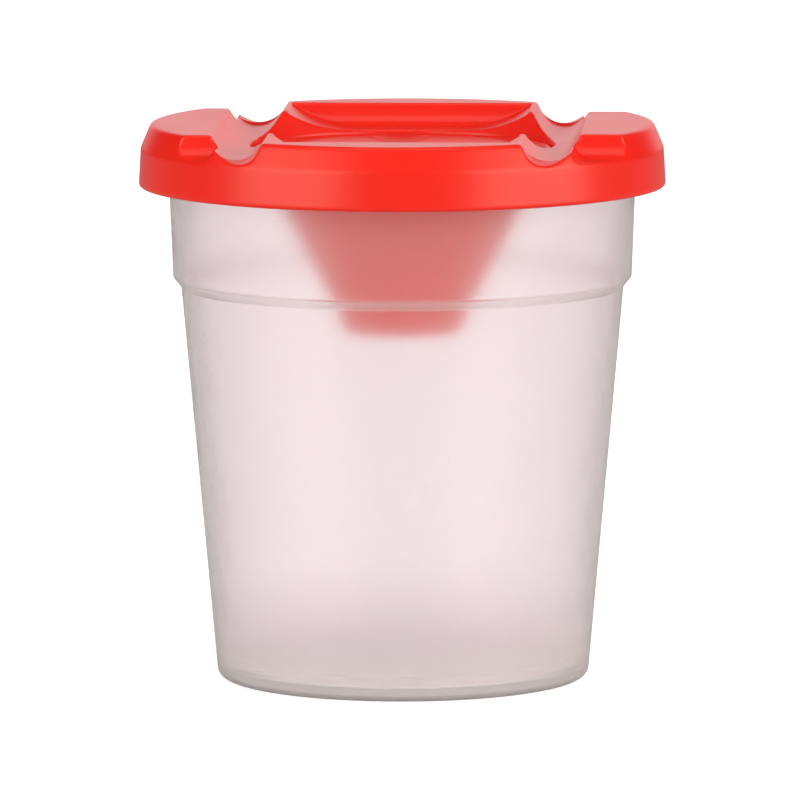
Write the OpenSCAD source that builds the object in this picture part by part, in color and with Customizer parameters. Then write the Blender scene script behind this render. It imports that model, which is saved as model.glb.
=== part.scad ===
// Non-spill brush washer: a translucent cup, a red lid with a funnel and four
// brush rests, and a flat stopper that closes the funnel's mouth.
// Millimetres, Z up, origin at the middle of the cup's base.
// Heights inside the lid and the stopper are measured down from the lid's top.

/* [Cup] */
// Height of the cup from its base to the top of its rim
cup_height = 85.1; // [70:0.1:110]
// Radius of the tapered wall where it would meet the table
cup_base_r = 29.95; // [27:0.05:31.5]
// Radius of the tapered wall just under the step
cup_neck_r = 35.7; // [34.5:0.1:36.4]
// Radius of the collar just over the step
collar_bottom_r = 37.0; // [36.8:0.1:37.4]
// Radius of the collar at the rim
collar_top_r = 37.7; // [37.5:0.1:38.4]
// Height of the collar from the step to the top of the rim
collar_height = 19.9; // [14:0.1:26]
// Height over which the wall steps out to the collar
step_height = 1.6; // [0.8:0.1:3]
// Height of the small slope at each edge of the step
step_ease = 0.4; // [0.2:0.1:0.6]
// Thickness of the cup's wall
cup_wall = 1.1; // [0.8:0.1:1.4]
// Thickness of the cup's floor
cup_floor = 2.0; // [1:0.1:4]
// Radius of the rounded edge round the base
base_round = 1.5; // [0.5:0.1:3]
// How far the rim flange stands out from the collar
flange_out = 3.05; // [2:0.05:4]
// Thickness of the rim flange
flange_thick = 1.6; // [1:0.1:2.5]
// Height of the slope under the rim flange
flange_slope = 0.8; // [0.5:0.1:1.2]
// Bevel on the rim flange's edges
flange_bevel = 0.3; // [0.1:0.05:0.4]

/* [Lid] */
// Gap between the rim flange and the inside of the skirt
lid_gap = 0.45; // [0.35:0.05:0.6]
// Thickness of the skirt's wall
skirt_wall = 1.3; // [1:0.1:2]
// Depth of the skirt under the lid's top
skirt_drop = 10.1; // [9:0.1:14]
// Thickness of the lid's plate and ribs
lid_wall = 1.2; // [0.9:0.1:1.5]
// How far the lid's top is smaller in radius than the skirt's foot
top_inset = 2.0; // [1.6:0.1:2.4]
// How far the shoulder is smaller in radius than the skirt's foot
shoulder_inset = 0.35; // [0.1:0.05:0.6]
// Depth of the shoulder under the lid's top
shoulder_drop = 3.9; // [3:0.1:5]
// Width of the bevel over the shoulder
shoulder_bevel = 0.15; // [0.1:0.05:0.3]
// Height of the bevel over the shoulder
shoulder_ease = 0.8; // [0.4:0.1:1.2]
// Radius of the rounded edge round the lid's top
top_round = 0.7; // [0.2:0.1:1.1]
// How far the snap bead inside the skirt stands in
bead_proud = 0.15; // [0.05:0.05:0.25]
// Height of the snap bead
bead_height = 1.0; // [0.6:0.1:1.2]
// Gap between the rim flange's slope and the snap bead
bead_gap = 0.3; // [0.2:0.05:0.4]

/* [Brush rests] */
// Distance from the lid's middle to the middle of each trough
trough_x = 24.93; // [24:0.1:26]
// Radius of a trough's round floor
trough_r = 4.1; // [3.4:0.1:4.4]
// Depth of a trough
trough_depth = 3.5; // [3:0.1:4]
// Radius of the rounded edges along the troughs
trough_edge_round = 0.9; // [0.4:0.1:1]
// Radius of the round floor of a notch, where a trough passes out through the rim
notch_r = 4.8; // [4.5:0.1:5]
// Depth of a notch
notch_depth = 3.05; // [2.6:0.05:3.3]
// Radius of the rounded edges along the notches
notch_edge_round = 0.3; // [0.2:0.1:0.5]
// Radius of the round floor of a lip
lip_r = 4.3; // [4:0.1:4.4]
// Step from a notch down to its outer lip
lip_step = 0.2; // [0.1:0.05:0.4]
// Slope of a notch's outer lip in degrees
lip_slope = 9; // [4:1:14]
// Radius round the lid's middle where the troughs end and the notches begin
notch_in_r = 38.6; // [37.5:0.1:39]
// Radius round the lid's middle where the notches drop to their lips
lip_in_r = 39.2; // [39.1:0.1:40]
// Distance from the lid's middle to the inside of the front and back rims
rim_reach = 31.8; // [30.5:0.1:32.5]

/* [Finger pockets and ears] */
// Depth of the finger pockets
pocket_depth = 3.55; // [2.5:0.05:3.9]
// Half the width of the flat part of a pocket's floor
pocket_flat_half = 8.9; // [4:0.1:12]
// Radius of the curve at the foot of a pocket's end wall
pocket_end_round = 3.2; // [1:0.1:3.4]
// Width of the ridge between a pocket and a trough
ridge_w = 0.5; // [0.3:0.1:1]
// Half the length of the left ear, front to back
left_ear_half = 22.4; // [17:0.1:24]
// Half the length of the right ear, front to back
right_ear_half = 19.0; // [17:0.1:24]
// Depth to which the corners beyond the ears are cut down
corner_depth = 3.7; // [3:0.1:4.2]
// Radius of the curve between an ear's end wall and the cut corner's floor
corner_end_round = 3.4; // [1:0.1:3.6]
// How far the cut corners reach in past the ears' inner edges
corner_inset = 1.4; // [0.8:0.1:1.8]
// Radius of the curve between a cut corner and the brush rest beside it
corner_round = 2.3; // [1:0.1:2.8]

/* [Funnel] */
// Depth of the funnel's end under the lid's top
funnel_drop = 33.7; // [30:0.1:45]
// Depth where the cone meets the tube
cone_drop = 30.3; // [24:0.1:30.5]
// Outer radius of the tube where it meets the cone
tube_top_r = 10.65; // [9:0.05:13]
// Outer radius of the tube's end
tube_end_r = 9.6; // [8:0.05:10.6]
// Thickness of the cone's wall, measured level
cone_wall = 1.35; // [1.2:0.05:1.6]
// Width of the ledge that the stopper rests on
ledge_w = 2.3; // [1.5:0.1:3]
// How much wider the mouth is at the lid's top than at the stopper
mouth_flare = 2.5; // [1.5:0.1:3]

/* [Stopper] */
// Radius of the stopper
stopper_r = 24.0; // [21:0.1:24.5]
// Depth of the stopper's top under the lid's top
stopper_drop = 4.1; // [3.9:0.1:4.5]
// Bevel round the stopper's top edge
stopper_bevel = 0.25; // [0.1:0.05:0.4]
// Height of the stopper's edge
stopper_edge_h = 2.2; // [1.8:0.1:3]
// Gap round the stopper
stopper_gap = 0.3; // [0.2:0.05:0.4]
// Depth of the dished top inside its raised lip
dish_depth = 0.3; // [0.1:0.05:0.5]
// Width of the raised lip
lip_w = 0.7; // [0.5:0.1:1.5]
// Width of the slope from the lip down to the dish
lip_ease = 0.5; // [0.2:0.1:0.8]
// Thickness of the stopper's plate
plate_thick = 1.4; // [1.2:0.1:1.6]
// Depth of the plug wall that centres the stopper in the cone
plug_drop = 2.0; // [1:0.1:4]
// Thickness of the plug wall
plug_wall = 1.1; // [0.8:0.1:1.6]
// Radius of the nail dimple in the stopper's top
dimple_r = 4.5; // [2.5:0.1:5]
// Depth of the nail dimple
dimple_depth = 0.8; // [0.3:0.05:1]
// Turn of the stopper in the lid in degrees, as it was left
stopper_turn = 3.5; // [0:0.5:45]

/* [Hidden] */
$fn = 96;
// Reach of a cut past the solid it cuts
over = 5;
// Overlap that keeps two cuts from leaving a skin between them
skin = 0.01;
arc_steps = 6;

deepest_cut = max(trough_depth, pocket_depth, corner_depth);
seat_drop = deepest_cut + lid_wall;
lid_top_z = cup_height + seat_drop;

step_z = cup_height - collar_height;
neck_z = step_z - step_height;
taper = (cup_neck_r - cup_base_r) / neck_z;
flange_r = collar_top_r + flange_out;

skirt_in_r = flange_r + lid_gap;
skirt_r = skirt_in_r + skirt_wall;
shoulder_r = skirt_r - shoulder_inset;
top_r = skirt_r - top_inset;
bead_z = -seat_drop - flange_thick - flange_slope - bead_gap;
bead_in_r = skirt_in_r - bead_proud;

// Half the width of a trough between its edges at the lid's top
trough_half_w = channel_half_w(trough_r, trough_depth, trough_edge_round);
ear_in_x = trough_x + trough_half_w;
rim_half_w = trough_x - trough_half_w;
pocket_half_w = rim_half_w - ridge_w;
pocket_side_r = pocket_half_w;

seat_r = stopper_r + stopper_gap;
mouth_r = seat_r + mouth_flare;
ledge_drop = stopper_drop + stopper_edge_h;
ledge_in_r = seat_r - ledge_w;
ledge_foot_drop = ledge_drop + lid_wall;
tube_in_top_r = tube_top_r - cone_wall;
tube_in_end_r = tube_end_r - lid_wall;
cone_slope = (ledge_in_r - tube_in_top_r) / (cone_drop - ledge_drop);
cone_foot_r = ledge_in_r - cone_slope * (ledge_foot_drop - ledge_drop) + cone_wall;

plug_top_r = ledge_in_r - stopper_gap;
plug_end_r = plug_top_r - cone_slope * plug_drop;
plate_foot_drop = stopper_drop + dish_depth + plate_thick;
dimple_ball_r = (pow(dimple_r, 2) + pow(dimple_depth, 2)) / (2 * dimple_depth);
dimple_y = stopper_r - lip_w - dimple_r;

// Points of a quarter turn from angle a0 to angle a1 round a centre
function arc(cx, cy, r, a0, a1) =
  [for (i = [0:arc_steps]) let (a = a0 + (a1 - a0) * i / arc_steps) [cx + r * cos(a), cy + r * sin(a)]];

// Right half of the cup's cross-section
module cup_section() {
  polygon(concat(
    [[0, 0]],
    arc(cup_base_r - base_round, base_round, base_round, -90, 0),
    [
      [cup_neck_r, neck_z],
      [collar_bottom_r - step_ease * 0.75, step_z - step_ease],
      [collar_bottom_r, step_z],
      [collar_top_r, cup_height - flange_thick - flange_slope],
      [flange_r - flange_slope, cup_height - flange_thick],
      [flange_r, cup_height - flange_thick + flange_bevel],
      [flange_r, cup_height - flange_bevel],
      [flange_r - flange_bevel, cup_height],
      [collar_top_r - cup_wall, cup_height],
      [collar_bottom_r - cup_wall, step_z + step_ease],
      [cup_neck_r - cup_wall, neck_z],
      [cup_base_r - cup_wall + taper * (cup_floor + base_round), cup_floor + base_round]
    ],
    arc(cup_base_r - cup_wall + taper * cup_floor - base_round, cup_floor + base_round, base_round, -15, -90),
    [[0, cup_floor]]
  ));
}

module cup() {
  color([0.9, 0.86, 0.85])
    rotate_extrude() cup_section();
}

// Right half of the lid's cross-section before its top is cut
module lid_section() {
  polygon(concat(
    [
      [mouth_r, 0],
      [seat_r, -stopper_drop],
      [seat_r, -ledge_drop],
      [ledge_in_r, -ledge_drop],
      [tube_in_top_r, -cone_drop],
      [tube_in_end_r, -funnel_drop],
      [tube_end_r, -funnel_drop],
      [tube_top_r, -cone_drop],
      [cone_foot_r, -ledge_foot_drop],
      [seat_r + lid_wall, -ledge_foot_drop],
      [seat_r + lid_wall, -seat_drop],
      [skirt_in_r, -seat_drop],
      [skirt_in_r, bead_z],
      [bead_in_r, bead_z - bead_height / 2],
      [skirt_in_r, bead_z - bead_height],
      [skirt_in_r, -skirt_drop],
      [skirt_r, -skirt_drop],
      [shoulder_r, -shoulder_drop - shoulder_ease / 2],
      [shoulder_r - shoulder_bevel, -shoulder_drop + shoulder_ease / 2]
    ],
    arc(top_r - top_round, -top_round, top_round, 20, 90)
  ));
}

// Half the width at the lid's top of a channel with a floor of radius r and edges of radius edge
function channel_half_w(r, depth, edge) = sqrt(pow(r + edge, 2) - pow(r - depth + edge, 2));

// Cross-section of a channel: a round floor whose walls curve out into the lid's top
module channel_section(r, depth, edge) {
  half_w = channel_half_w(r, depth, edge);
  // Angle at which the floor's curve turns into the edge's curve
  turn = acos(half_w / (r + edge));
  right_edge = arc(half_w, -edge, edge, 90, 180 - turn);
  left_edge = [for (i = [arc_steps:-1:0]) [-right_edge[i][0], right_edge[i][1]]];
  foot = [[half_w / 2, -edge], [-half_w / 2, -edge]];
  translate([0, r - depth])
    circle(r = r);
  polygon(concat([[half_w, over]], right_edge, foot, left_edge, [[-half_w, over]]));
}

// Channel along Y, open at the lid's top
module channel(r, depth, edge, length) {
  rotate([90, 0, 0])
    linear_extrude(height = length, center = true)
      channel_section(r, depth, edge);
}

module disc_under_top(r) {
  translate([0, 0, -seat_drop])
    cylinder(r = r, h = seat_drop + over);
}

module troughs() {
  intersection() {
    disc_under_top(notch_in_r);
    for (side = [-1, 1])
      translate([side * trough_x, 0, 0])
        channel(trough_r, trough_depth, trough_edge_round, 2 * rim_reach);
  }
}

// Notches right through the rim, and outside them the lips that slope down
module notches() {
  for (side = [-1, 1])
    translate([side * trough_x, 0, 0])
      channel(notch_r, notch_depth, notch_edge_round, 2 * skirt_r);
  difference() {
    for (side = [-1, 1])
      for (end = [0, 180])
        rotate([0, 0, end])
          translate([side * trough_x, rim_reach, -notch_depth - lip_step])
            rotate([-lip_slope, 0, 0])
              translate([0, over, lip_r])
                rotate([90, 0, 0])
                  cylinder(r = lip_r, h = 4 * over, center = true);
    disc_under_top(lip_in_r);
  }
}

// What a curve of radius r leaves in the inside corner at (x, y), with the open side right and up
module fillet_corner(x, y, r) {
  difference() {
    translate([x - skin, y - skin])
      square(r + skin);
    translate([x + r, y + r])
      circle(r = r);
  }
}

// Lengthwise cut of the two finger pockets: Y across the page, Z up
module pocket_long_section() {
  difference() {
    translate([-rim_reach, -pocket_depth])
      square([2 * rim_reach, pocket_depth + over]);
    for (end = [0, 1])
      mirror([end, 0])
        fillet_corner(-rim_reach, -pocket_depth, pocket_end_round);
  }
}

// Crosswise cut of the finger pockets: X across the page, Z up
module pocket_cross_section() {
  side_w = pocket_half_w - pocket_flat_half;
  difference() {
    translate([-pocket_half_w, -pocket_depth])
      square([2 * pocket_half_w, pocket_depth + over]);
    for (side = [0, 1])
      mirror([side, 0])
        difference() {
          translate([pocket_flat_half, -pocket_depth - skin])
            square([side_w + skin, side_w]);
          translate([pocket_flat_half, -pocket_depth + pocket_side_r])
            circle(r = pocket_side_r);
        }
  }
}

module pockets() {
  intersection() {
    rotate([90, 0, 90])
      linear_extrude(height = 2 * (pocket_half_w + over), center = true)
        pocket_long_section();
    rotate([90, 0, 0])
      linear_extrude(height = 2 * (rim_reach + over), center = true)
        pocket_cross_section();
  }
}

// Corner cut beyond an ear's end: a wall that curves into a flat floor
module corner_long_section(ear_half) {
  reach = skirt_r + over - ear_half;
  difference() {
    translate([ear_half, -corner_depth])
      square([reach, corner_depth + over]);
    fillet_corner(ear_half, -corner_depth, corner_end_round);
  }
}

module corner_cross_section() {
  start = ear_in_x - corner_inset;
  difference() {
    translate([start, -corner_depth])
      square([skirt_r + over - start, corner_depth + over]);
    fillet_corner(start, -corner_depth, corner_round);
  }
}

// One cut corner at the back right, for an ear of half length ear_half
module corner_cut(ear_half) {
  intersection() {
    rotate([90, 0, 90])
      linear_extrude(height = skirt_r + over)
        corner_long_section(ear_half);
    rotate([90, 0, 0])
      linear_extrude(height = 2 * (skirt_r + over), center = true)
        corner_cross_section();
  }
}

module corners() {
  for (flip = [0, 1])
    mirror([0, flip, 0]) {
      corner_cut(right_ear_half);
      mirror([1, 0, 0])
        corner_cut(left_ear_half);
    }
}

// Round space under the lid's top, inside its wall
module under_top() {
  translate([0, 0, -seat_drop - over])
    cylinder(r = top_r - lid_wall, h = seat_drop + over - lid_wall);
}

// Hollow under the right ear, so that the moulding keeps an even wall
module ear_hollow(ear_half) {
  inner_x = ear_in_x + lid_wall;
  intersection() {
    under_top();
    translate([inner_x, -ear_half + lid_wall, -seat_drop - over])
      cube([skirt_r - inner_x, 2 * (ear_half - lid_wall), seat_drop + over]);
  }
}

// Hollow under the back rim
module rim_hollow() {
  inner_y = rim_reach + lid_wall;
  half_w = rim_half_w - lid_wall;
  intersection() {
    under_top();
    translate([-half_w, inner_y, -seat_drop - over])
      cube([2 * half_w, skirt_r - inner_y, seat_drop + over]);
  }
}

module lid() {
  color([0.86, 0.12, 0.09])
    translate([0, 0, lid_top_z])
      difference() {
        rotate_extrude() lid_section();
        troughs();
        notches();
        pockets();
        corners();
        ear_hollow(right_ear_half);
        mirror([1, 0, 0]) ear_hollow(left_ear_half);
        rim_hollow();
        mirror([0, 1, 0]) rim_hollow();
      }
}

// Right half of the stopper's cross-section
module stopper_section() {
  lip_in_r = stopper_r - lip_w;
  polygon([
    [0, -stopper_drop - dish_depth],
    [lip_in_r - lip_ease, -stopper_drop - dish_depth],
    [lip_in_r, -stopper_drop],
    [stopper_r - stopper_bevel, -stopper_drop],
    [stopper_r, -stopper_drop - stopper_bevel],
    [stopper_r, -ledge_drop],
    [plug_top_r, -ledge_drop],
    [plug_end_r, -ledge_drop - plug_drop],
    [plug_end_r - plug_wall, -ledge_drop - plug_drop],
    [plug_end_r - plug_wall, -plate_foot_drop],
    [0, -plate_foot_drop]
  ]);
}

module stopper() {
  color([0.9, 0.2, 0.15])
    translate([0, 0, lid_top_z])
      rotate([0, 0, stopper_turn])
        difference() {
          rotate_extrude() stopper_section();
          translate([0, dimple_y, -stopper_drop - dish_depth - dimple_depth + dimple_ball_r])
            sphere(r = dimple_ball_r);
        }
}

cup();
lid();
stopper();
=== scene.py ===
"""The looks of a brush washer: a milky cup, a red press-on lid with a funnel, and a red stopper."""

import math

import bmesh
import bpy
from mathutils import Matrix, Vector


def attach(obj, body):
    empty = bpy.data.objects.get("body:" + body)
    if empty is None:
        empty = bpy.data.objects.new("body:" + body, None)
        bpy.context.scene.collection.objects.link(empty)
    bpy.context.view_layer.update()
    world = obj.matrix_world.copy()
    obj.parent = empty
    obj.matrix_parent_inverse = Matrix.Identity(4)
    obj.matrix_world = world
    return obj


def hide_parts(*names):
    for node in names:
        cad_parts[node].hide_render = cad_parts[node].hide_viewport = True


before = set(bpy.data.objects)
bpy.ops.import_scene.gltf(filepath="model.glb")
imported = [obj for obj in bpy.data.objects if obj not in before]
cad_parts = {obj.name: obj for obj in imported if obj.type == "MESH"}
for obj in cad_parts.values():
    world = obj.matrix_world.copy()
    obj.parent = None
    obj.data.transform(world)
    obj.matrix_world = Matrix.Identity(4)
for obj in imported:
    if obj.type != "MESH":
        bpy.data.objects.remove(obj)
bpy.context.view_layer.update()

# All sizes below are in millimetres, with Z up from the middle of the cup's base.
MM = 0.001

# Cup
CUP_HEIGHT = 85.1
CUP_BASE_R = 29.95
CUP_NECK_R = 35.7
COLLAR_BOTTOM_R = 37.0
COLLAR_TOP_R = 37.7
STEP_Z = 65.2
STEP_HEIGHT = 1.6
CUP_WALL = 1.1
CUP_FLOOR = 2.0
FLANGE_R = 40.75
FLANGE_THICK = 1.6
FLANGE_SLOPE = 0.8
BASE_ROUND = 1.6
FLOOR_ROUND = 1.5
STEP_ROUND = 0.5
FLANGE_FOOT_ROUND = 0.4

# Lid, with heights measured from its top
LID_TOP_Z = 90.0
SEAT_DROP = 4.9
SKIRT_IN_R = 41.2
SKIRT_R = 42.5
SKIRT_DROP = 10.1
LID_WALL = 1.2
TOP_R = 40.5
SHOULDER_R = 42.15
SHOULDER_DROP = 3.9
TROUGH_X = 24.93
TROUGH_R = 4.1
TROUGH_DEPTH = 3.5
TROUGH_EDGE_ROUND = 0.9
NOTCH_R = 4.8
NOTCH_DEPTH = 3.05
NOTCH_EDGE_ROUND = 0.3
NOTCH_IN_R = 38.6
LIP_R = 4.3
LIP_STEP = 0.2
LIP_SLOPE = 9
LIP_IN_R = 39.2
RIM_REACH = 31.8
POCKET_DEPTH = 3.55
POCKET_FLAT_HALF = 8.9
POCKET_END_ROUND = 3.2
RIDGE_W = 0.5
LEFT_EAR_HALF = 22.4
RIGHT_EAR_HALF = 19.0
CORNER_DEPTH = 3.7
CORNER_END_ROUND = 3.4
CORNER_INSET = 1.4
CORNER_ROUND = 2.3
FUNNEL_DROP = 33.7
CONE_DROP = 30.3
CONE_WALL = 1.35
TUBE_TOP_R = 10.65
TUBE_END_R = 9.6
LEDGE_DROP = 6.3
LEDGE_IN_R = 22.0
SEAT_R = 24.3
MOUTH_R = 26.8
MOUTH_ROUND = 0.5
CONE_ROUND = 1.0
CONE_FOOT_ROUND = 0.6
LID_EDGE_ROUND = 0.4
SHOULDER_ROUND = 0.8
TOP_ROUND = 0.7

# Stopper
STOPPER_R = 24.0
STOPPER_DROP = 4.1
DISH_DEPTH = 0.3
LIP_W = 0.7
PLATE_THICK = 1.4
PLUG_DROP = 2.0
PLUG_WALL = 1.1
DIMPLE_R = 4.5
DIMPLE_DEPTH = 0.8
STOPPER_TURN = 3.5
STOPPER_GAP = 0.3
LIP_EASE = 0.5
LIP_ROUND = 0.15
PLUG_FOOT_ROUND = 0.2
PLATE_ROUND = 0.4

# Round of the thin edges that need no other
FINE_ROUND = 0.3

# Flats that a turned shape has around it
SIDES = 288
# How far a cut runs past the solid it cuts
OVER = 5.0
# Grid on which the lid's edges are softened
SOFT_GRID = 0.25


# Shapes


def mesh_object(name, mesh):
    made = bpy.data.objects.new(name, mesh)
    bpy.context.scene.collection.objects.link(made)
    return made


def solid(name, bm):
    """Makes an object of a closed bmesh, with its faces turned outwards."""
    bmesh.ops.recalc_face_normals(bm, faces=bm.faces)
    mesh = bpy.data.meshes.new(name)
    bm.to_mesh(mesh)
    bm.free()
    return mesh_object(name, mesh)


def rounded(outline, closed=True):
    """Turns (x, z) and (x, z, radius) corners into points, with an arc where there is a radius."""
    points = []
    count = len(outline)
    for i, corner in enumerate(outline):
        here = Vector(corner[:2])
        radius = corner[2] if len(corner) > 2 else 0
        if radius == 0 or (not closed and i in (0, count - 1)):
            points.append(here)
            continue
        before = (Vector(outline[i - 1][:2]) - here).normalized()
        after = (Vector(outline[(i + 1) % count][:2]) - here).normalized()
        half = before.angle(after) / 2
        centre = here + (before + after).normalized() * radius / math.sin(half)
        start = here + before * radius / math.tan(half) - centre
        turn = start.angle_signed(here + after * radius / math.tan(half) - centre)
        steps = max(2, math.ceil(abs(turn) / math.radians(9)))
        for k in range(steps + 1):
            spin = Matrix.Rotation(-turn * k / steps, 2)
            points.append(centre + spin @ start)
    return points


def turned(name, outline, closed):
    """Turns an outline of (radius, height) points about Z. An open one starts and ends on the axis."""
    bm = bmesh.new()
    rings = []
    for r, z in outline:
        if r < 1e-6:
            rings.append([bm.verts.new((0, 0, z))] * SIDES)
        else:
            angles = [math.tau * k / SIDES for k in range(SIDES)]
            rings.append([bm.verts.new((r * math.cos(a), r * math.sin(a), z)) for a in angles])
    pairs = list(zip(rings, rings[1:]))
    if closed:
        pairs.append((rings[-1], rings[0]))
    for lower, upper in pairs:
        for k in range(SIDES):
            corners = [lower[k], lower[k - 1], upper[k - 1], upper[k]]
            bm.faces.new(list(dict.fromkeys(corners)))
    return solid(name, bm)


def bar(name, section, length, place=Matrix()):
    """Runs a section of (x, z) points along Y, half of the length to each side."""
    bm = bmesh.new()
    ends = [[bm.verts.new(place @ Vector((x, y, z))) for x, z in section] for y in (-length / 2, length / 2)]
    bm.faces.new(ends[0])
    bm.faces.new(reversed(ends[1]))
    for k in range(len(section)):
        bm.faces.new([ends[0][k], ends[0][k - 1], ends[1][k - 1], ends[1][k]])
    return solid(name, bm)


def disc(name, r, low, high):
    return turned(name, [(0, low), (r, low), (r, high), (0, high)], closed=False)


def settle(piece):
    """Applies a piece's modifiers to its mesh."""
    settled = piece.evaluated_get(bpy.context.evaluated_depsgraph_get())
    mesh = bpy.data.meshes.new_from_object(settled)
    piece.modifiers.clear()
    piece.data = mesh


def combine(piece, operation, others):
    """Cuts others from a piece, or keeps what they share, and deletes the others."""
    for other in others:
        step = piece.modifiers.new("combine", "BOOLEAN")
        step.operation = operation
        step.solver = "MANIFOLD"
        step.object = other
    settle(piece)
    for other in others:
        bpy.data.objects.remove(other)
    return piece


def to_metres(piece):
    piece.data.transform(Matrix.Scale(MM, 4))
    piece.data.update()


# Cup


def make_cup():
    neck_z = STEP_Z - STEP_HEIGHT
    taper = (CUP_NECK_R - CUP_BASE_R) / neck_z
    floor_r = CUP_BASE_R - CUP_WALL + taper * CUP_FLOOR
    outline = [
        (0, 0),
        (CUP_BASE_R, 0, BASE_ROUND),
        (CUP_NECK_R, neck_z, STEP_ROUND),
        (COLLAR_BOTTOM_R, STEP_Z, STEP_ROUND),
        (COLLAR_TOP_R, CUP_HEIGHT - FLANGE_THICK - FLANGE_SLOPE, FLANGE_FOOT_ROUND),
        (FLANGE_R, CUP_HEIGHT - FLANGE_THICK, FINE_ROUND),
        (FLANGE_R, CUP_HEIGHT, FINE_ROUND),
        (COLLAR_TOP_R - CUP_WALL, CUP_HEIGHT, FINE_ROUND),
        (COLLAR_BOTTOM_R - CUP_WALL, STEP_Z, STEP_ROUND),
        (CUP_NECK_R - CUP_WALL, neck_z, STEP_ROUND),
        (floor_r, CUP_FLOOR, FLOOR_ROUND),
        (0, CUP_FLOOR),
    ]
    return turned("cup_shell", rounded(outline, closed=False), closed=False)


# Lid


def channel_section(r, depth, edge):
    """A round floor of radius r whose walls curve out, with radius edge, into the lid's top."""
    middle_z = r - depth
    half_w = math.sqrt((r + edge) ** 2 - (middle_z + edge) ** 2)
    turn = math.acos(half_w / (r + edge))
    right = [(half_w, OVER)]
    for k in range(9):
        a = math.radians(90) + (math.radians(90) - turn) * k / 8
        right.append((half_w + edge * math.cos(a), -edge + edge * math.sin(a)))
    for k in range(1, 17):
        a = -turn - (math.radians(90) - turn) * k / 16
        right.append((r * math.cos(a), middle_z + r * math.sin(a)))
    return right + [(-x, z) for x, z in reversed(right[:-1])]


def trough_half_w():
    edge = TROUGH_EDGE_ROUND
    return math.sqrt((TROUGH_R + edge) ** 2 - (TROUGH_R - TROUGH_DEPTH + edge) ** 2)


def trough_cutters():
    section = channel_section(TROUGH_R, TROUGH_DEPTH, TROUGH_EDGE_ROUND)
    cutters = []
    for side in (-1, 1):
        trough = bar("trough", section, 2 * RIM_REACH, Matrix.Translation((side * TROUGH_X, 0, 0)))
        reach = disc("reach", NOTCH_IN_R, -2 * OVER, 2 * OVER)
        cutters.append(combine(trough, "INTERSECT", [reach]))
    return cutters


def notch_cutters():
    section = channel_section(NOTCH_R, NOTCH_DEPTH, NOTCH_EDGE_ROUND)
    places = [Matrix.Translation((side * TROUGH_X, 0, 0)) for side in (-1, 1)]
    return [bar("notch", section, 2 * SKIRT_R, place) for place in places]


def lip_cutters():
    """Round cuts that slope down outwards from each notch."""
    circle = [(LIP_R * math.cos(a), LIP_R * math.sin(a)) for a in (math.tau * k / 64 for k in range(64))]
    cutters = []
    for side in (-1, 1):
        for end in (0, math.pi):
            place = (
                Matrix.Rotation(end, 4, "Z")
                @ Matrix.Translation((side * TROUGH_X, RIM_REACH, -NOTCH_DEPTH - LIP_STEP))
                @ Matrix.Rotation(math.radians(-LIP_SLOPE), 4, "X")
                @ Matrix.Translation((0, OVER, LIP_R))
            )
            lip = bar("lip", circle, 4 * OVER, place)
            cutters.append(combine(lip, "DIFFERENCE", [disc("inside", LIP_IN_R, -3 * OVER, 3 * OVER)]))
    return cutters


def pocket_cutter():
    long_section = rounded(
        [
            (-RIM_REACH, OVER),
            (-RIM_REACH, -POCKET_DEPTH, POCKET_END_ROUND),
            (RIM_REACH, -POCKET_DEPTH, POCKET_END_ROUND),
            (RIM_REACH, OVER),
        ]
    )
    half_w = TROUGH_X - trough_half_w() - RIDGE_W
    rise_r = half_w
    right = [(half_w, OVER)]
    reach = math.asin((half_w - POCKET_FLAT_HALF) / rise_r)
    for k in range(13):
        a = reach * (1 - k / 12)
        right.append((POCKET_FLAT_HALF + rise_r * math.sin(a), -POCKET_DEPTH + rise_r * (1 - math.cos(a))))
    cross_section = right + [(-x, z) for x, z in reversed(right)]
    pocket = bar("pocket", cross_section, 2 * (RIM_REACH + OVER))
    along = bar("along", long_section, 2 * (half_w + OVER), Matrix.Rotation(math.radians(90), 4, "Z"))
    return combine(pocket, "INTERSECT", [along])


def corner_cutters():
    """Low corners beyond the ears' ends."""
    start_x = TROUGH_X + trough_half_w() - CORNER_INSET
    far = SKIRT_R + OVER
    cutters = []
    for side, ear_half in ((-1, LEFT_EAR_HALF), (1, RIGHT_EAR_HALF)):
        for end in (-1, 1):
            across = [
                (start_x, OVER),
                (start_x, -CORNER_DEPTH, CORNER_ROUND),
                (far, -CORNER_DEPTH),
                (far, OVER),
            ]
            along = [
                (ear_half, OVER),
                (ear_half, -CORNER_DEPTH, CORNER_END_ROUND),
                (far, -CORNER_DEPTH),
                (far, OVER),
            ]
            across = [(side * x, z) for x, z in rounded(across)]
            along = [(end * y, z) for y, z in rounded(along)]
            cut = bar("corner", across, 3 * far)
            ends = bar("ends", along, 3 * far, Matrix.Rotation(math.radians(90), 4, "Z"))
            cutters.append(combine(cut, "INTERSECT", [ends]))
    return cutters


def box(name, low, high):
    (x0, y0, z0), (x1, y1, z1) = low, high
    section = [(x0, z0), (x1, z0), (x1, z1), (x0, z1)]
    return bar(name, section, y1 - y0, Matrix.Translation((0, (y0 + y1) / 2, 0)))


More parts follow.
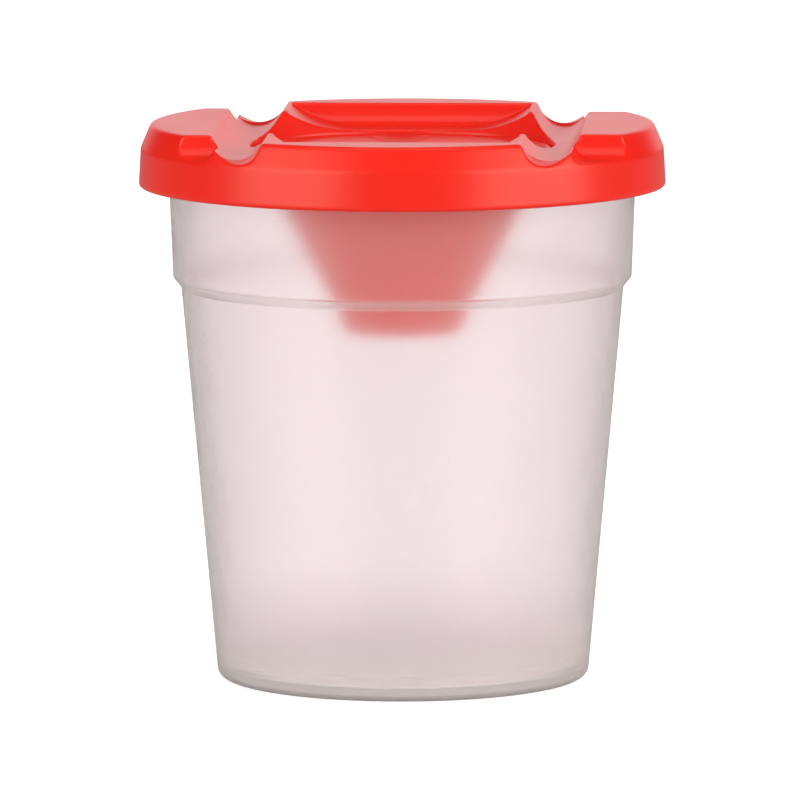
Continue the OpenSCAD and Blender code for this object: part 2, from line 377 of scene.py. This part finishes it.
def hollow_cutters():
    """Hollows under the ears and rims, which keep the moulding's wall even."""
    ear_in_x = TROUGH_X + trough_half_w()
    rim_half_w = TROUGH_X - trough_half_w() - LID_WALL
    ear_x = ear_in_x + LID_WALL
    rim_y = RIM_REACH + LID_WALL
    right_y = RIGHT_EAR_HALF - LID_WALL
    left_y = LEFT_EAR_HALF - LID_WALL
    low_z = -SEAT_DROP - OVER
    boxes = [
        box("right_ear_hollow", (ear_x, -right_y, low_z), (SKIRT_R, right_y, 0)),
        box("left_ear_hollow", (-SKIRT_R, -left_y, low_z), (-ear_x, left_y, 0)),
        box("back_rim_hollow", (-rim_half_w, rim_y, low_z), (rim_half_w, SKIRT_R, 0)),
        box("front_rim_hollow", (-rim_half_w, -SKIRT_R, low_z), (rim_half_w, -rim_y, 0)),
    ]
    for hollow in boxes:
        under_top = disc("under_top", TOP_R - LID_WALL, low_z - OVER, -LID_WALL)
        combine(hollow, "INTERSECT", [under_top])
    return boxes


def cone_slope():
    """How much the inside of the funnel narrows on its way down."""
    return (LEDGE_IN_R - TUBE_TOP_R + CONE_WALL) / (CONE_DROP - LEDGE_DROP)


def lid_blank():
    """The lid before its top is cut."""
    cone_foot_r = LEDGE_IN_R - cone_slope() * LID_WALL + CONE_WALL
    foot_drop = LEDGE_DROP + LID_WALL
    outline = [
        (MOUTH_R, 0, MOUTH_ROUND),
        (SEAT_R, -STOPPER_DROP, MOUTH_ROUND),
        (SEAT_R, -LEDGE_DROP, FINE_ROUND),
        (LEDGE_IN_R, -LEDGE_DROP, LID_EDGE_ROUND),
        (TUBE_TOP_R - CONE_WALL, -CONE_DROP, CONE_ROUND),
        (TUBE_END_R - LID_WALL, -FUNNEL_DROP, LID_EDGE_ROUND),
        (TUBE_END_R, -FUNNEL_DROP, LID_EDGE_ROUND),
        (TUBE_TOP_R, -CONE_DROP, CONE_ROUND),
        (cone_foot_r, -foot_drop, CONE_FOOT_ROUND),
        (SEAT_R + LID_WALL, -foot_drop, LID_EDGE_ROUND),
        (SEAT_R + LID_WALL, -SEAT_DROP, MOUTH_ROUND),
        (SKIRT_IN_R, -SEAT_DROP, LID_EDGE_ROUND),
        (SKIRT_IN_R, -SKIRT_DROP, LID_EDGE_ROUND),
        (SKIRT_R, -SKIRT_DROP, LID_EDGE_ROUND),
        (SHOULDER_R, -SHOULDER_DROP, SHOULDER_ROUND),
        (TOP_R, 0, TOP_ROUND),
    ]
    return turned("lid_shell", rounded(outline), closed=True)


def make_lid():
    lid = lid_blank()
    cutters = trough_cutters() + notch_cutters() + lip_cutters()
    cutters += [pocket_cutter()] + corner_cutters() + hollow_cutters()
    combine(lid, "DIFFERENCE", cutters)
    # The moulding has no sharp edge, so the whole lid goes onto a fine grid and its edges are eased
    grid = lid.modifiers.new("grid", "REMESH")
    grid.mode = "VOXEL"
    grid.voxel_size = SOFT_GRID
    ease = lid.modifiers.new("ease", "SMOOTH")
    ease.factor = 0.5
    ease.iterations = 5
    settle(lid)
    lid.data.transform(Matrix.Translation((0, 0, LID_TOP_Z)))
    return lid


# Stopper


def make_stopper():
    plug_top_r = LEDGE_IN_R - STOPPER_GAP
    plug_end_r = plug_top_r - cone_slope() * PLUG_DROP
    lip_in_r = STOPPER_R - LIP_W
    dish_z = -STOPPER_DROP - DISH_DEPTH
    outline = [
        (0, dish_z),
        (lip_in_r - LIP_EASE, dish_z, FINE_ROUND),
        (lip_in_r, -STOPPER_DROP, LIP_ROUND),
        (STOPPER_R, -STOPPER_DROP, FINE_ROUND),
        (STOPPER_R, -LEDGE_DROP, FINE_ROUND),
        (plug_top_r, -LEDGE_DROP, PLUG_FOOT_ROUND),
        (plug_end_r, -LEDGE_DROP - PLUG_DROP, FINE_ROUND),
        (plug_end_r - PLUG_WALL, -LEDGE_DROP - PLUG_DROP, FINE_ROUND),
        (plug_end_r - PLUG_WALL, dish_z - PLATE_THICK, PLATE_ROUND),
        (0, dish_z - PLATE_THICK),
    ]
    stopper = turned("stopper_disc", rounded(outline, closed=False), closed=False)
    ball_r = (DIMPLE_R**2 + DIMPLE_DEPTH**2) / (2 * DIMPLE_DEPTH)
    dimple_y = STOPPER_R - LIP_W - DIMPLE_R
    quarter = [math.radians(-90 + 45 * k / 48) for k in range(49)]
    cap = [(ball_r * math.cos(a) if k else 0, ball_r * math.sin(a)) for k, a in enumerate(quarter)]
    ball = turned("ball", cap + [(0, cap[-1][1])], closed=False)
    ball.data.transform(Matrix.Translation((0, dimple_y, dish_z - DIMPLE_DEPTH + ball_r)))
    combine(stopper, "DIFFERENCE", [ball])
    stopper.data.transform(Matrix.Rotation(math.radians(STOPPER_TURN), 4, "Z"))
    stopper.data.transform(Matrix.Translation((0, 0, LID_TOP_Z)))
    return stopper


cup = make_cup()
lid = make_lid()
stopper = make_stopper()
for piece, body, slot in (
    (cup, "cup", "clear_plastic"),
    (lid, "lid", "red_plastic"),
    (stopper, "stopper", "stopper_plastic"),
):
    to_metres(piece)
    piece.data.shade_smooth()
    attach(piece, body)
    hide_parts(body)


# Materials

POLYPROPYLENE_IOR = 1.49
# Share of the light that the cup's wall scatters as haze: in the thin wall, at the floor and at the step
WALL_HAZE = 0.08
FLOOR_HAZE = 0.3
STEP_HAZE = 0.25
# Heights in millimetres between which the floor's haze fades, and distances from the step for its own
FLOOR_HAZE_TOP = 2.5
FLOOR_HAZE_END = 14.0
STEP_HAZE_HALF = 0.5
STEP_HAZE_END = 1.4


def linear(colour):
    """Turns an sRGB hex colour into linear light."""
    parts = [int(colour[k : k + 2], 16) / 255 for k in (1, 3, 5)]
    return [c / 12.92 if c <= 0.04045 else ((c + 0.055) / 1.055) ** 2.4 for c in parts] + [1.0]


def add_node(tree, kind, inputs=None, **settings):
    """Adds a node, sets its properties, and fills its inputs with values or other nodes' outputs."""
    made = tree.nodes.new(kind)
    for name, value in settings.items():
        setattr(made, name, value)
    for name, value in (inputs or {}).items():
        socket = made.inputs[name]
        if isinstance(value, bpy.types.NodeSocket):
            tree.links.new(value, socket)
        else:
            socket.default_value = value
    return made


def new_material(name):
    material = bpy.data.materials.new(name)
    material.use_nodes = True
    material.node_tree.nodes.clear()
    return material, material.node_tree


def finish_material(tree, surface, volume=None):
    out = add_node(tree, "ShaderNodeOutputMaterial", {"Surface": surface})
    if volume is not None:
        tree.links.new(volume, out.inputs["Volume"])


def natural_polypropylene():
    """Unpigmented polypropylene, injection moulded: milky, so what is behind it looks blurred."""
    material, tree = new_material("natural_polypropylene_moulded")
    place = add_node(tree, "ShaderNodeTexCoord").outputs["Object"]
    # Slow waves in the wall, about 9 mm apart
    waves = add_node(
        tree,
        "ShaderNodeTexNoise",
        {"Vector": place, "Scale": 1 / (9 * MM), "Detail": 2.0, "Roughness": 0.4},
    )
    # The thick floor and the step of the wall are milkier than the thin wall
    height = add_node(tree, "ShaderNodeSeparateXYZ", {"Vector": place}).outputs["Z"]
    floor_haze = add_node(
        tree,
        "ShaderNodeMapRange",
        {
            "Value": height,
            "From Min": FLOOR_HAZE_TOP * MM,
            "From Max": FLOOR_HAZE_END * MM,
            "To Min": FLOOR_HAZE,
            "To Max": WALL_HAZE,
        },
    )
    step_middle = (STEP_Z - STEP_HEIGHT / 2) * MM
    above_step = add_node(tree, "ShaderNodeMath", {0: height, 1: step_middle}, operation="SUBTRACT")
    from_step = add_node(tree, "ShaderNodeMath", {0: above_step.outputs[0]}, operation="ABSOLUTE")
    step_haze = add_node(
        tree,
        "ShaderNodeMapRange",
        {
            "Value": from_step.outputs[0],
            "From Min": STEP_HAZE_HALF * MM,
            "From Max": STEP_HAZE_END * MM,
            "To Min": STEP_HAZE,
            "To Max": 0.0,
        },
    )
    haze = add_node(
        tree,
        "ShaderNodeMath",
        {0: floor_haze.outputs["Result"], 1: step_haze.outputs["Result"]},
        operation="MAXIMUM",
    )
    clear = add_node(tree, "ShaderNodeMath", {0: 1.0, 1: haze.outputs[0]}, operation="SUBTRACT")
    roughness = add_node(
        tree,
        "ShaderNodeMapRange",
        {
            "Value": waves.outputs["Fac"],
            "From Min": 0.1,
            "From Max": 0.9,
            "To Min": 0.2,
            "To Max": 0.25,
        },
    )
    wavy = add_node(
        tree,
        "ShaderNodeBump",
        {"Height": waves.outputs["Fac"], "Strength": 0.1, "Distance": 0.1 * MM},
    )
    plastic = add_node(
        tree,
        "ShaderNodeBsdfPrincipled",
        {
            "Base Color": linear("#F8F1F4"),
            "Roughness": roughness.outputs["Result"],
            "IOR": POLYPROPYLENE_IOR,
            "Transmission Weight": clear.outputs[0],
            "Normal": wavy.outputs["Normal"],
        },
    )
    # Light fades and warms a little along its way through the wall
    fading = add_node(
        tree, "ShaderNodeVolumeAbsorption", {"Color": linear("#D07A70"), "Density": 6.0}
    )
    finish_material(tree, plastic.outputs["BSDF"], fading.outputs["Volume"])
    return material


def red_polypropylene(name, colour):
    """Red polypropylene, injection moulded: a deep opaque colour under a soft satin gloss."""
    material, tree = new_material(name)
    place = add_node(tree, "ShaderNodeTexCoord").outputs["Object"]
    # Flow of the pigment, in patches about 14 mm wide
    flow = add_node(
        tree,
        "ShaderNodeTexNoise",
        {"Vector": place, "Scale": 1 / (14 * MM), "Detail": 1.0, "Roughness": 0.4},
    )
    tint = add_node(
        tree,
        "ShaderNodeMix",
        {"Factor": flow.outputs["Fac"], "A": linear(colour[0]), "B": linear(colour[1])},
        data_type="RGBA",
    )
    # Grain of the mould's surface, about 0.35 mm
    grain = add_node(
        tree, "ShaderNodeTexNoise", {"Vector": place, "Scale": 1 / (0.35 * MM), "Detail": 1.0}
    )
    roughness = add_node(
        tree,
        "ShaderNodeMapRange",
        {
            "Value": flow.outputs["Fac"],
            "From Min": 0.1,
            "From Max": 0.9,
            "To Min": 0.29,
            "To Max": 0.33,
        },
    )
    wavy = add_node(
        tree,
        "ShaderNodeBump",
        {"Height": flow.outputs["Fac"], "Strength": 0.08, "Distance": 0.1 * MM},
    )
    grainy = add_node(
        tree,
        "ShaderNodeBump",
        {
            "Height": grain.outputs["Fac"],
            "Strength": 0.08,
            "Distance": 0.01 * MM,
            "Normal": wavy.outputs["Normal"],
        },
    )
    plastic = add_node(
        tree,
        "ShaderNodeBsdfPrincipled",
        {
            "Base Color": tint.outputs["Result"],
            "Roughness": roughness.outputs["Result"],
            "IOR": POLYPROPYLENE_IOR,
            "Normal": grainy.outputs["Normal"],
        },
    )
    finish_material(tree, plastic.outputs["BSDF"])
    return material


def put_on(piece, material):
    piece.data.materials.clear()
    piece.data.materials.append(material)


put_on(cup, natural_polypropylene())
put_on(lid, red_polypropylene("red_polypropylene_moulded", ("#EA1A08", "#ED1E0A")))
put_on(stopper, red_polypropylene("red_polypropylene_stopper", ("#EB1C0A", "#EE200C")))


# Studio, with distances in metres

FLOOR_HALF = 6.0
# How much the paper floor glows to the camera near the object and far away, and where that changes
GLOW_NEAR = 0.75
GLOW_FAR = 1.0
GLOW_NEAR_END = 0.25
GLOW_FAR_START = 1.5
# How bright the studio's air is to matt surfaces
AMBIENT = 0.45
# How far the middle of the backdrop is above the horizon
BACKDROP_TILT = math.radians(4)
# How bright the studio is away from the backdrop: mirrored in the plastic, and through it
DIM_MIRRORED = 0.03
DIM_THROUGH = 0.85
# Slightly warm light
SOFTBOX_COLOUR = (1.0, 0.93, 0.77)
# Height of the point that the softboxes face
SOFTBOX_AIM_Z = 0.06
# Name, azimuth and elevation in degrees, distance, width and height, and watts.
# Azimuth 0 is in front, and positive is to the right.
SOFTBOXES = (
    ("left_softbox", -48, 14, 1.1, (1.0, 0.9), 8.6),
    ("right_softbox", 62, 14, 1.1, (1.1, 0.9), 10.6),
    ("top_softbox", 0, 80, 1.2, (0.9, 0.9), 3),
)

# Camera in millimetres and degrees: a long lens, a little above and to the right of the front
CAMERA_AZIMUTH = 2.91
CAMERA_ELEVATION = 7.26
CAMERA_DISTANCE = 1621.4
CAMERA_ROLL = -0.10
CAMERA_TARGET_RIGHT = -0.433
CAMERA_TARGET_Z = 44.85
SENSOR_W = 36
# Focal length as a share of the picture's width
FOCAL_SHARE = 10024.3 / 800


def towards(azimuth, elevation):
    """The direction from the object to something at an azimuth and an elevation in radians."""
    return Vector(
        (
            math.sin(azimuth) * math.cos(elevation),
            -math.cos(azimuth) * math.cos(elevation),
            math.sin(elevation),
        )
    )


def make_floor():
    bm = bmesh.new()
    bmesh.ops.create_grid(bm, x_segments=1, y_segments=1, size=FLOOR_HALF)
    floor = solid("floor", bm)
    material, tree = new_material("studio_paper")
    ray = add_node(tree, "ShaderNodeLightPath").outputs
    seen = add_node(
        tree,
        "ShaderNodeMath",
        {0: ray["Is Camera Ray"], 1: ray["Is Transmission Ray"]},
        operation="MAXIMUM",
    )
    paper = add_node(tree, "ShaderNodeBsdfDiffuse", {"Color": linear("#BEBEBE")})
    # Away from the lamps the paper is lit less, so it glows more there
    place = add_node(tree, "ShaderNodeTexCoord").outputs["Object"]
    far = add_node(tree, "ShaderNodeVectorMath", {0: place}, operation="LENGTH")
    level = add_node(
        tree,
        "ShaderNodeMapRange",
        {
            "Value": far.outputs["Value"],
            "From Min": GLOW_NEAR_END,
            "From Max": GLOW_FAR_START,
            "To Min": GLOW_NEAR,
            "To Max": GLOW_FAR,
        },
    )
    glow_strength = add_node(
        tree,
        "ShaderNodeMath",
        {0: seen.outputs[0], 1: level.outputs["Result"]},
        operation="MULTIPLY",
    )
    glow = add_node(
        tree,
        "ShaderNodeEmission",
        {"Color": linear("#FFFFFF"), "Strength": glow_strength.outputs[0]},
    )
    both = add_node(tree, "ShaderNodeAddShader", {0: paper.outputs[0], 1: glow.outputs[0]})
    finish_material(tree, both.outputs[0])
    put_on(floor, material)


def make_world():
    world = bpy.data.worlds.new("studio")
    bpy.context.scene.world = world
    world.use_nodes = True
    tree = world.node_tree
    tree.nodes.clear()
    ray = add_node(tree, "ShaderNodeLightPath").outputs
    # The white backdrop stands behind the object, and the gloss of the plastic mirrors a dim studio
    direction = add_node(tree, "ShaderNodeTexCoord").outputs["Generated"]
    backdrop = (0, math.cos(BACKDROP_TILT), math.sin(BACKDROP_TILT))
    behind = add_node(
        tree, "ShaderNodeVectorMath", {0: direction, 1: backdrop}, operation="DOT_PRODUCT"
    )
    mirrored = add_node(
        tree,
        "ShaderNodeMapRange",
        {
            "Value": behind.outputs["Value"],
            "From Min": 0.84,
            "From Max": 0.97,
            "To Min": DIM_MIRRORED,
            "To Max": 1.0,
        },
    )
    through = add_node(
        tree,
        "ShaderNodeMapRange",
        {
            "Value": behind.outputs["Value"],
            "From Min": 0.0,
            "From Max": 0.8,
            "To Min": DIM_THROUGH,
            "To Max": 1.0,
        },
    )
    strength = AMBIENT
    for kind, level in (
        ("Is Glossy Ray", mirrored.outputs["Result"]),
        ("Is Transmission Ray", through.outputs["Result"]),
        ("Is Camera Ray", 1.0),
    ):
        mix = add_node(tree, "ShaderNodeMix", {"Factor": ray[kind], "A": strength, "B": level})
        strength = mix.outputs["Result"]
    sky = add_node(
        tree, "ShaderNodeBackground", {"Color": linear("#FFFFFF"), "Strength": strength}
    )
    add_node(tree, "ShaderNodeOutputWorld", {"Surface": sky.outputs[0]})


def make_softbox(name, azimuth, elevation, distance, size, watts):
    """A soft lamp aimed at the object."""
    facing = towards(math.radians(azimuth), math.radians(elevation))
    lamp = bpy.data.lights.new(name, "AREA")
    lamp.shape = "RECTANGLE"
    lamp.size, lamp.size_y = size
    lamp.energy = watts
    lamp.color = SOFTBOX_COLOUR
    holder = bpy.data.objects.new(name, lamp)
    holder.location = Vector((0, 0, SOFTBOX_AIM_Z)) + facing * distance
    holder.rotation_euler = facing.to_track_quat("Z", "Y").to_euler()
    bpy.context.scene.collection.objects.link(holder)


def make_camera():
    azimuth, elevation, roll = (
        math.radians(degrees) for degrees in (CAMERA_AZIMUTH, CAMERA_ELEVATION, CAMERA_ROLL)
    )
    back = towards(azimuth, elevation)
    right = Vector((math.cos(azimuth), math.sin(azimuth), 0))
    up = back.cross(right)
    tilted_right = right * math.cos(roll) + up * math.sin(roll)
    tilted_up = up * math.cos(roll) - right * math.sin(roll)
    target = right * CAMERA_TARGET_RIGHT + Vector((0, 0, CAMERA_TARGET_Z))
    place = (target + back * CAMERA_DISTANCE) * MM
    lens = bpy.data.cameras.new("camera")
    lens.sensor_width = SENSOR_W
    lens.lens = FOCAL_SHARE * SENSOR_W
    lens.clip_start, lens.clip_end = 0.05, 50
    camera = bpy.data.objects.new("camera", lens)
    bpy.context.scene.collection.objects.link(camera)
    facing = Matrix((tilted_right, tilted_up, back)).transposed().to_4x4()
    camera.matrix_world = Matrix.Translation(place) @ facing
    bpy.context.scene.camera = camera


make_floor()
make_world()
for softbox in SOFTBOXES:
    make_softbox(*softbox)
make_camera()

view_settings = bpy.context.scene.view_settings
view_settings.view_transform = "Standard"
